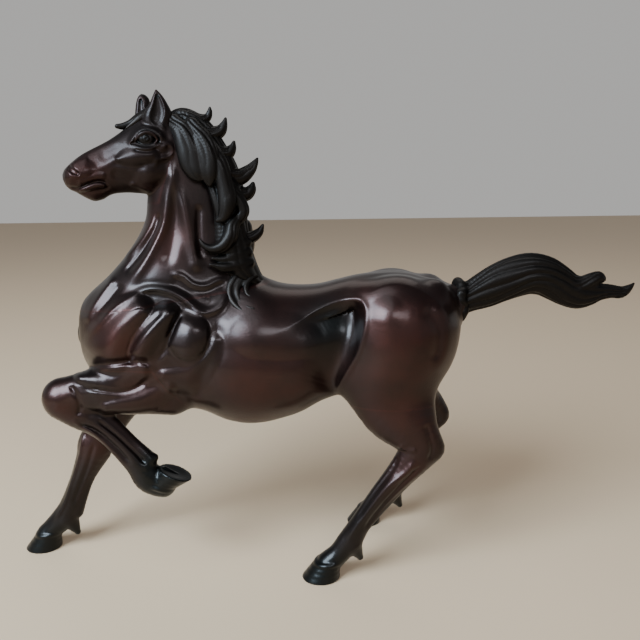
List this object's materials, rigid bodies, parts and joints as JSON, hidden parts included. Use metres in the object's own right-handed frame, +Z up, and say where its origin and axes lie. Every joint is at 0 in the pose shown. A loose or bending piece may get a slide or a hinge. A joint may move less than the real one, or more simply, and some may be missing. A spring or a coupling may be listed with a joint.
{
  "type": "horse statue",
  "caption": "Cast bronze statue of a striding horse with one foreleg lifted and folded, head turned, mane in flying locks and tail carried out behind; stands free on its hooves.",
  "frame": {"origin": "middle of the overall size, at the height of the hoof soles", "axes": "+Z up, the horse looks along -X, its left side is -Y, its tail points along +X"},
  "size_m": [0.3817, 0.0888, 0.2831],
  "materials": {
    "bronze_body": "cast bronze, brown-black patina rubbed to red-brown on the muscles, waxed satin gloss",
    "bronze_hair": "cast bronze, black-green patina, waxed satin",
    "raw_bronze": "bare machined bronze, hidden inside the joints"
  },
  "bodies": {
    "root": {"torso_shell": "bronze_body", "neck_shell": "bronze_body", "head": "bronze_body", "left_foreleg": "bronze_body", "right_foreleg": "bronze_body", "left_hind_leg": "bronze_body", "right_hind_leg": "bronze_body", "tail": "bronze_hair", "mane_crest": "bronze_hair", "mane_locks": "bronze_hair", "shoulder_lock": "bronze_hair", "forelock": "bronze_hair", "belly_plug": "raw_bronze", "core_plugs": "raw_bronze", "foreleg_dowels": "raw_bronze", "hind_leg_dowels": "raw_bronze", "neck_pins": "raw_bronze", "head_dowel": "raw_bronze", "tail_pin": "raw_bronze"}
  },
  "joints": []
}
